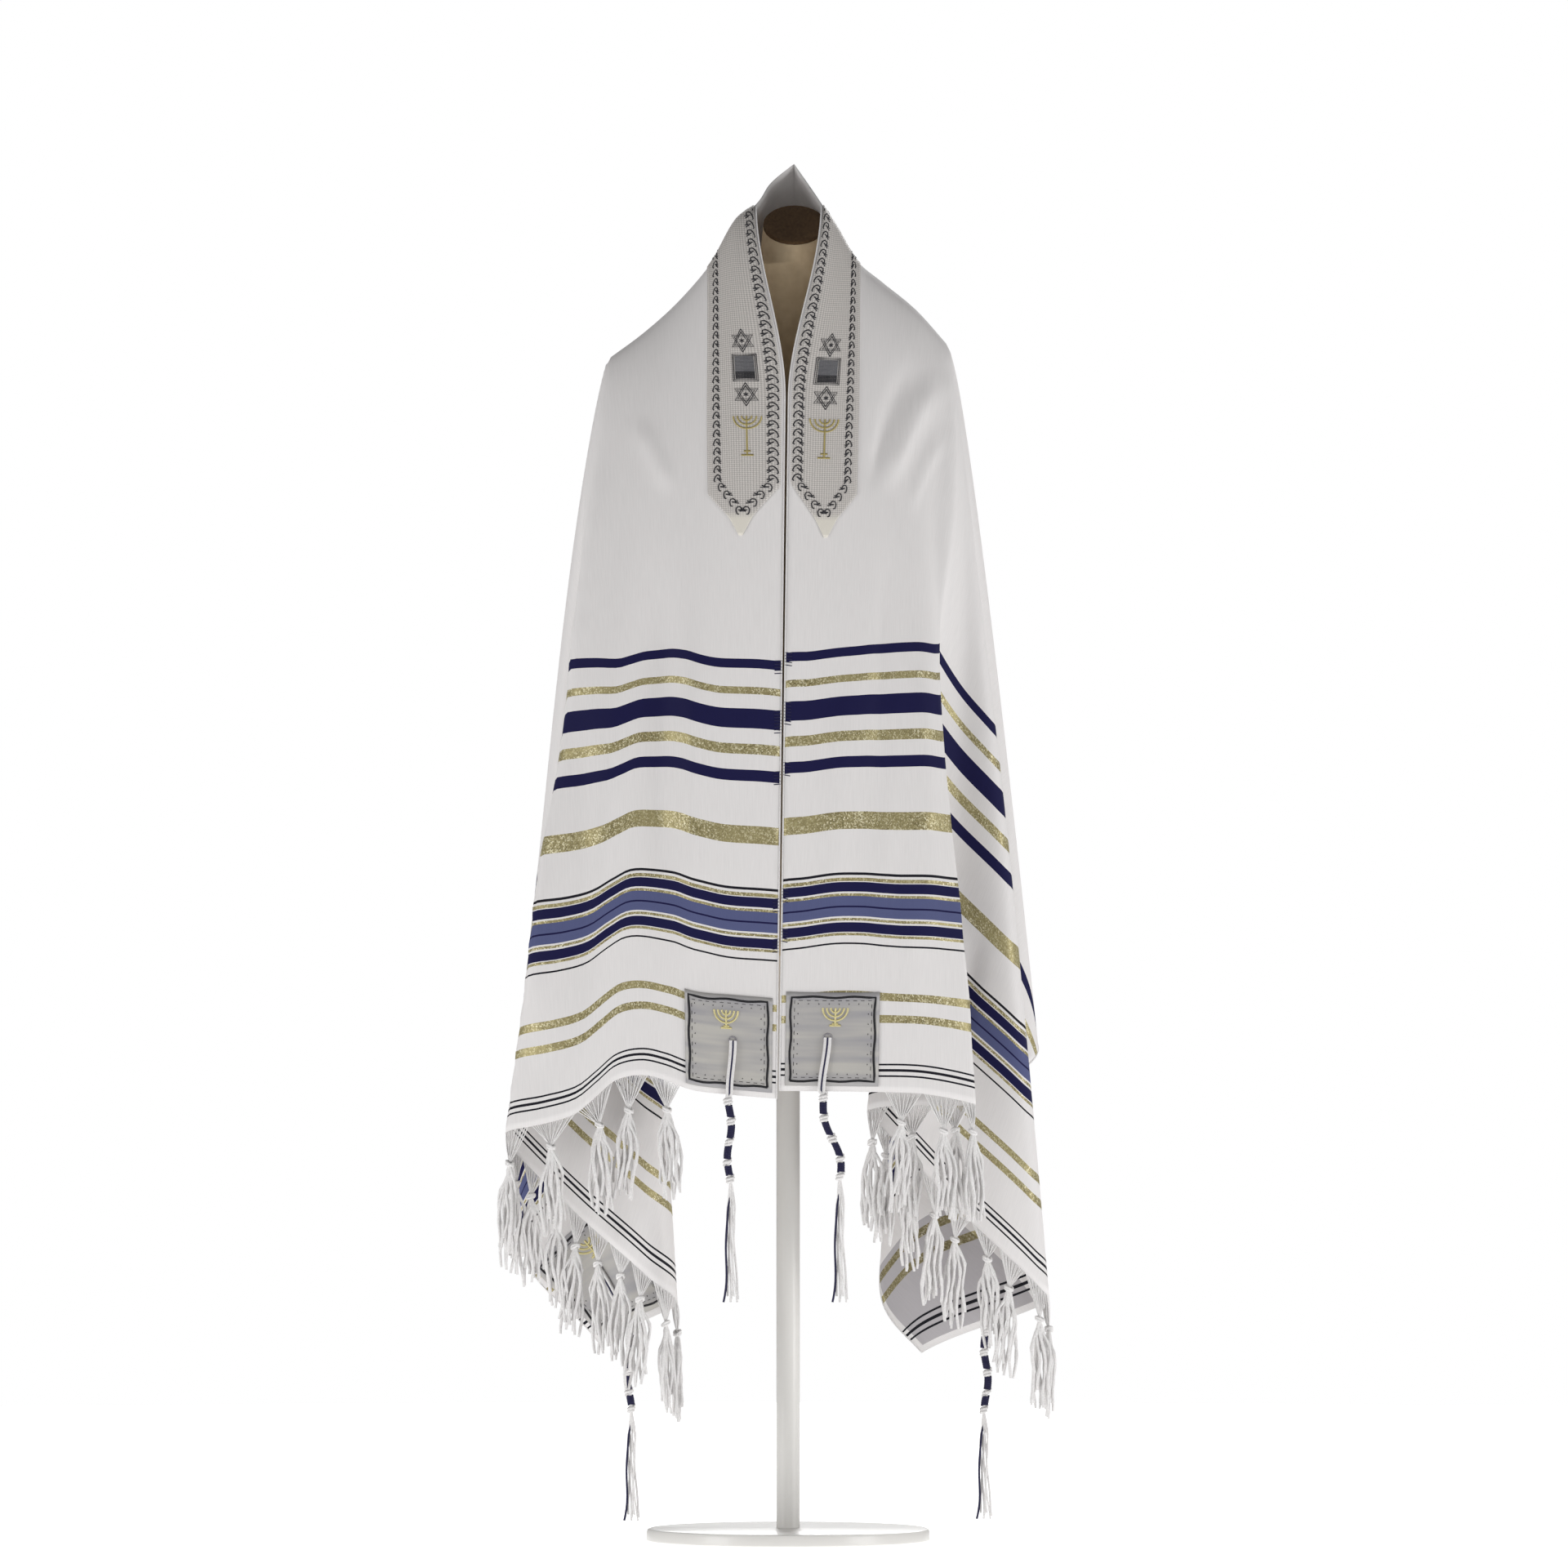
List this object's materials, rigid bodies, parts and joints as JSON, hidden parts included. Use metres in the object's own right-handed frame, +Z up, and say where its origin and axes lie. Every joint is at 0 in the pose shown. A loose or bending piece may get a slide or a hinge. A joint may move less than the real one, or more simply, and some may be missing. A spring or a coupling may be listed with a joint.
{
  "type": "tallit prayer shawl on a dress form",
  "caption": "Striped, fringed tallit prayer shawl with neck band, corner patches and knotted tzitzit, draped on a limbless dress form on a pole stand.",
  "frame": {"origin": "middle of the underside of the stand's base, on the floor", "axes": "+Z up, -Y towards the front of the shawl, +X to the right in the picture"},
  "size_m": [0.5562, 0.3387, 1.4129],
  "materials": {
    "woven_cloth": "smooth satin weave, off-white, with woven navy, slate, gold and black stripes",
    "silver_jacquard": "silver-grey figured weave with a charcoal border",
    "grey_satin": "grey satin with a black line frame",
    "white_thread": "plied white cord and twisted thread",
    "beige_linen": "plain woven linen, stretched",
    "dark_wood": "stained and waxed",
    "pale_paint": "satin paint"
  },
  "bodies": {
    "root": {"shawl": "woven_cloth", "atarah": "silver_jacquard", "patch_front_left": "grey_satin", "patch_front_right": "grey_satin", "patch_back_left": "grey_satin", "patch_back_right": "grey_satin", "tzitzit_front_left": "white_thread", "tzitzit_front_right": "white_thread", "tzitzit_back_left": "white_thread", "tzitzit_back_right": "white_thread", "fringe_left": "white_thread", "fringe_right": "white_thread", "dress_form": "beige_linen", "neck_cap": "dark_wood", "pole": "pale_paint", "base": "pale_paint"}
  },
  "joints": []
}
